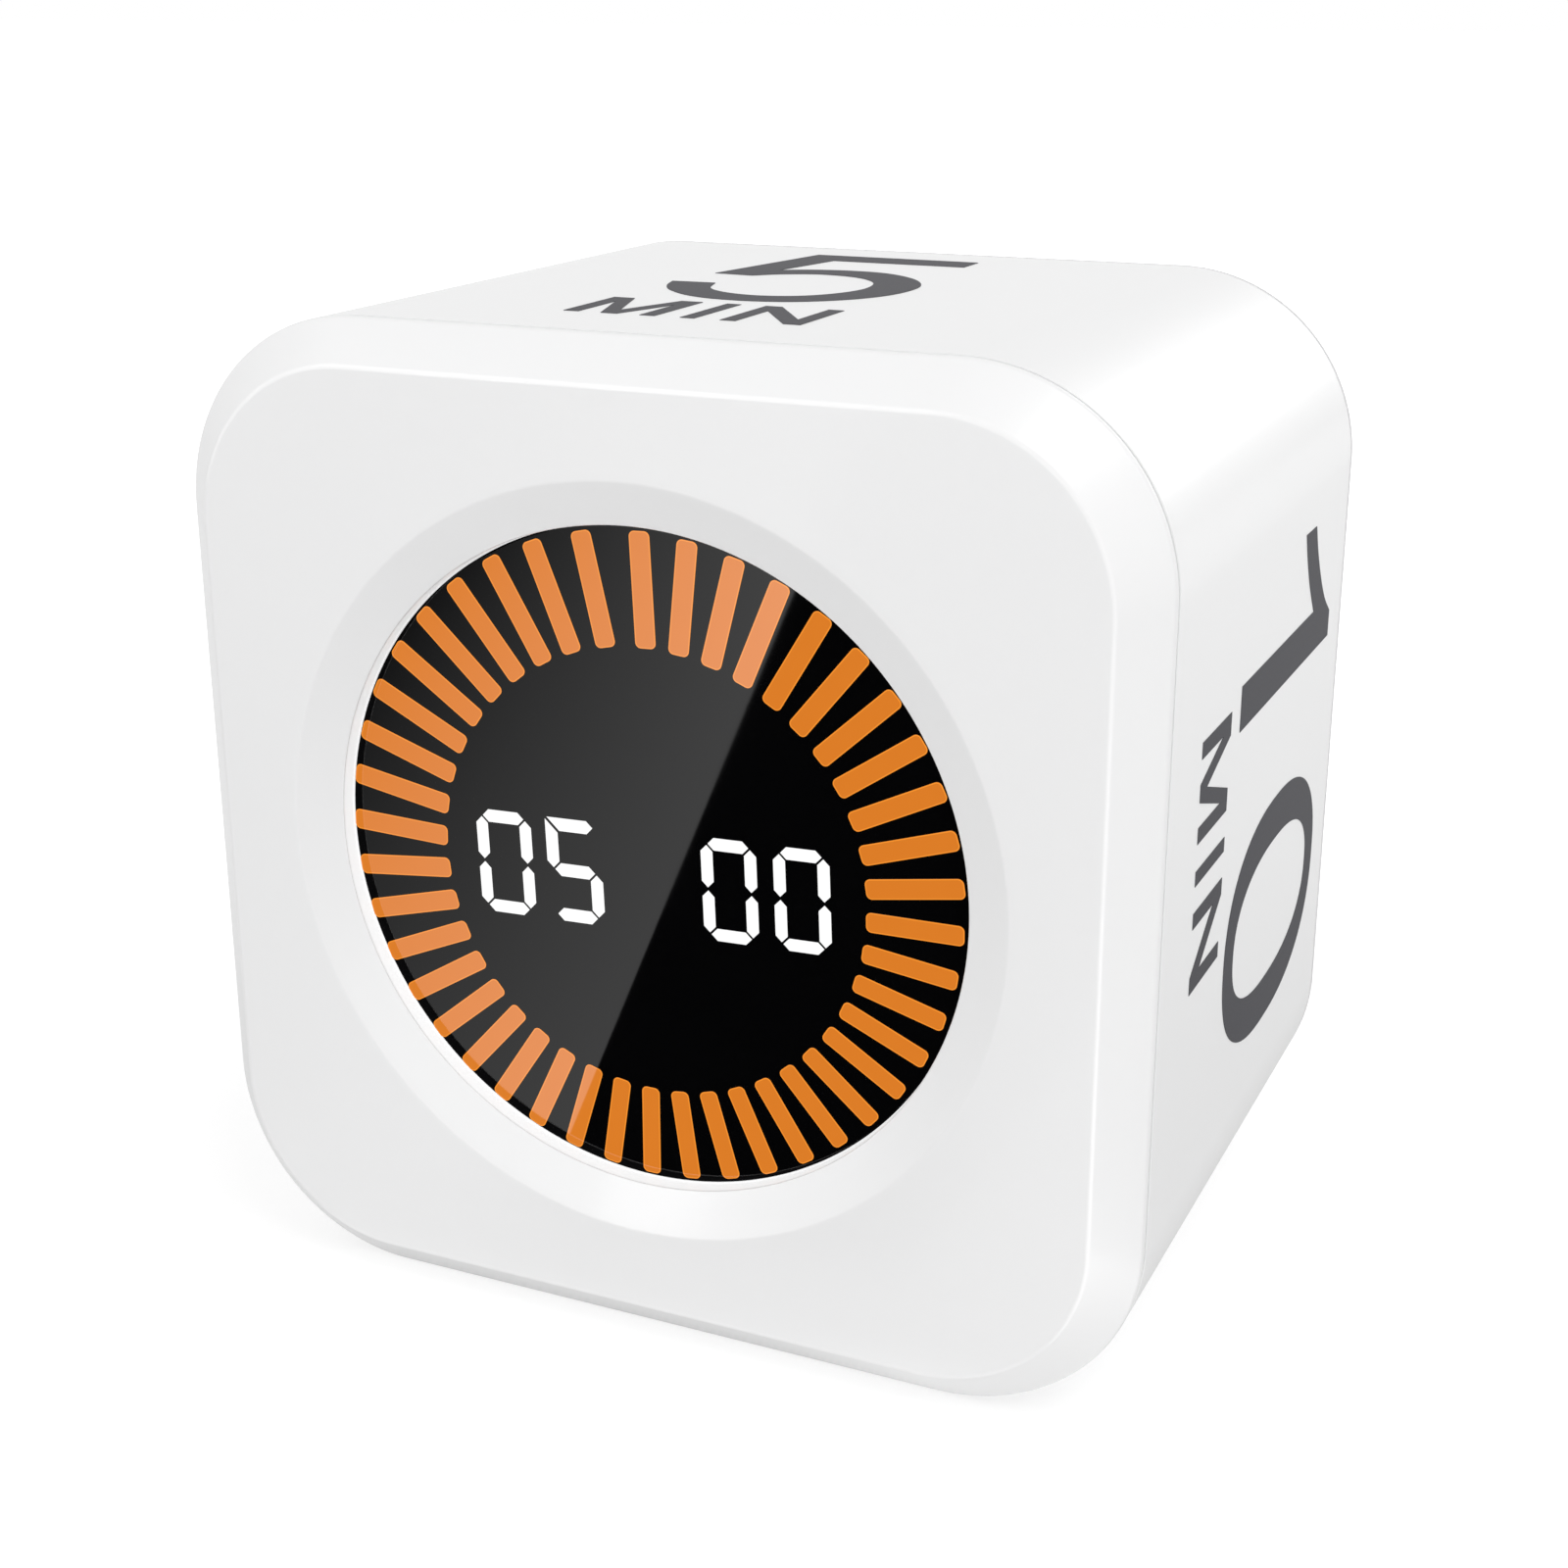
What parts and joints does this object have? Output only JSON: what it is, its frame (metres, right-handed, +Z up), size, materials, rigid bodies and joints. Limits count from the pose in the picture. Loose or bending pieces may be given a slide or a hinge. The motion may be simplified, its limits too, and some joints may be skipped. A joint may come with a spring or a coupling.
{
  "type": "cube timer",
  "caption": "Rounded-square countdown timer with a round dark display in a chamfered white housing, started by turning it onto a side, with its controls behind.",
  "frame": {"origin": "middle of the bottom face, halfway between the front and rear faces, with the display facing forward", "axes": "+Z up, -Y out of the display, +X to the right as seen from the front"},
  "size_m": [0.064, 0.0494, 0.064],
  "materials": {
    "white_shell": "satin gloss",
    "smoked_lens": "polished",
    "dark_plastic": "matte",
    "grey_plastic": "satin",
    "milky_film": "printed film",
    "circuit_board": "solder mask",
    "bright_steel": "plated",
    "heavy_metal": "sintered",
    "cell_foil": "laminated foil",
    "black_foam": "foam",
    "ribbon_film": "polyimide film",
    "red_sleeve": "satin",
    "black_sleeve": "satin"
  },
  "bodies": {
    "housing": {"battery_cell": "cell_foil", "battery_foam_pad": "black_foam", "battery_lead_black": "black_sleeve", "battery_lead_red": "red_sleeve", "battery_lead_socket": "white_shell", "board_screw_1": "bright_steel", "board_screw_2": "bright_steel", "board_screw_3": "bright_steel", "board_screw_4": "bright_steel", "body_sleeve": "white_shell", "buzzer": "dark_plastic", "chassis": "dark_plastic", "chassis_screw_1": "bright_steel", "chassis_screw_2": "bright_steel", "chassis_screw_3": "bright_steel", "chassis_screw_4": "bright_steel", "cover_screw_1": "bright_steel", "cover_screw_2": "bright_steel", "cover_screw_3": "bright_steel", "cover_screw_4": "bright_steel", "display_board": "circuit_board", "display_lens": "smoked_lens", "display_ribbon": "ribbon_film", "display_ribbon_socket": "dark_plastic", "display_screw_1": "bright_steel", "display_screw_2": "bright_steel", "display_screw_3": "bright_steel", "display_screw_4": "bright_steel", "front_cover": "white_shell", "gravity_sensor": "dark_plastic", "lens_tape_ring": "black_sleeve", "light_frame": "dark_plastic", "main_board": "circuit_board", "main_ribbon_socket": "dark_plastic", "minute_switch_case": "bright_steel", "processor_chip": "dark_plastic", "rear_cover": "white_shell", "second_switch_case": "bright_steel", "segment_film": "milky_film", "slide_switch_case": "bright_steel", "usb_socket": "bright_steel", "vibration_motor": "bright_steel"},
    "minute_button": {"minute_button": "grey_plastic", "minute_switch_plunger": "dark_plastic"},
    "second_button": {"second_button": "grey_plastic", "second_switch_plunger": "dark_plastic"},
    "switch_knob": {"switch_knob": "grey_plastic", "switch_actuator": "dark_plastic"},
    "motor_weight": {"motor_weight": "heavy_metal"}
  },
  "joints": [
    {"name": "minute_button_press", "type": "slide", "parent": "housing", "child": "minute_button", "axis": [0, -1, 0], "range_m": [0, 0.0005], "stiffness_N_per_m": 1500},
    {"name": "second_button_press", "type": "slide", "parent": "housing", "child": "second_button", "axis": [0, -1, 0], "range_m": [0, 0.0005], "stiffness_N_per_m": 1500},
    {"name": "switch_slide", "type": "slide", "parent": "housing", "child": "switch_knob", "axis": [1, 0, 0], "range_m": [-0.002, 0.002]},
    {"name": "motor_spin", "type": "hinge", "parent": "housing", "child": "motor_weight", "pos_m": [-0.001, -0.0051, 0.015], "axis": [1, 0, 0], "continuous": true}
  ]
}
